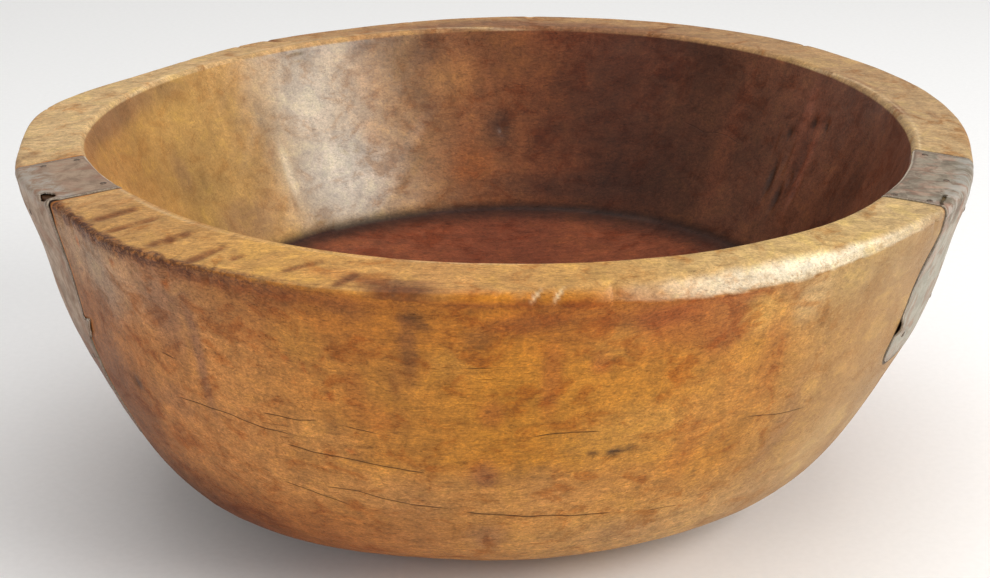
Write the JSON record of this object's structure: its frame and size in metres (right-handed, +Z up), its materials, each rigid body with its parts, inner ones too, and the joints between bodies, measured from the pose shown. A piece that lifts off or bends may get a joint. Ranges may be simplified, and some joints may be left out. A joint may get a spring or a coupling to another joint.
{
  "type": "carved wooden bowl",
  "caption": "Large round bowl carved from one block of wood, with thick sloping walls, a flat rim and two sheet-metal repair straps tacked over the rim.",
  "frame": {"origin": "under the middle of the base, on the face that the bowl rests on", "axes": "+Z up out of the mouth, +X along the grain towards the right strap, -Y the front, between the two straps"},
  "size_m": [0.5099, 0.4903, 0.2015],
  "materials": {
    "carved_wood": "old hand-rubbed oil finish, satin, worn and stained",
    "weathered_sheet": "dull weathered zinc-grey sheet with rust stains",
    "tack_iron": "dark rusted iron"
  },
  "bodies": {
    "root": {"bowl": "carved_wood", "left_strap": "weathered_sheet", "right_strap": "weathered_sheet", "left_rim_tacks": "tack_iron", "left_wall_tacks": "tack_iron", "right_rim_tacks": "tack_iron", "right_wall_tacks": "tack_iron"}
  },
  "joints": []
}
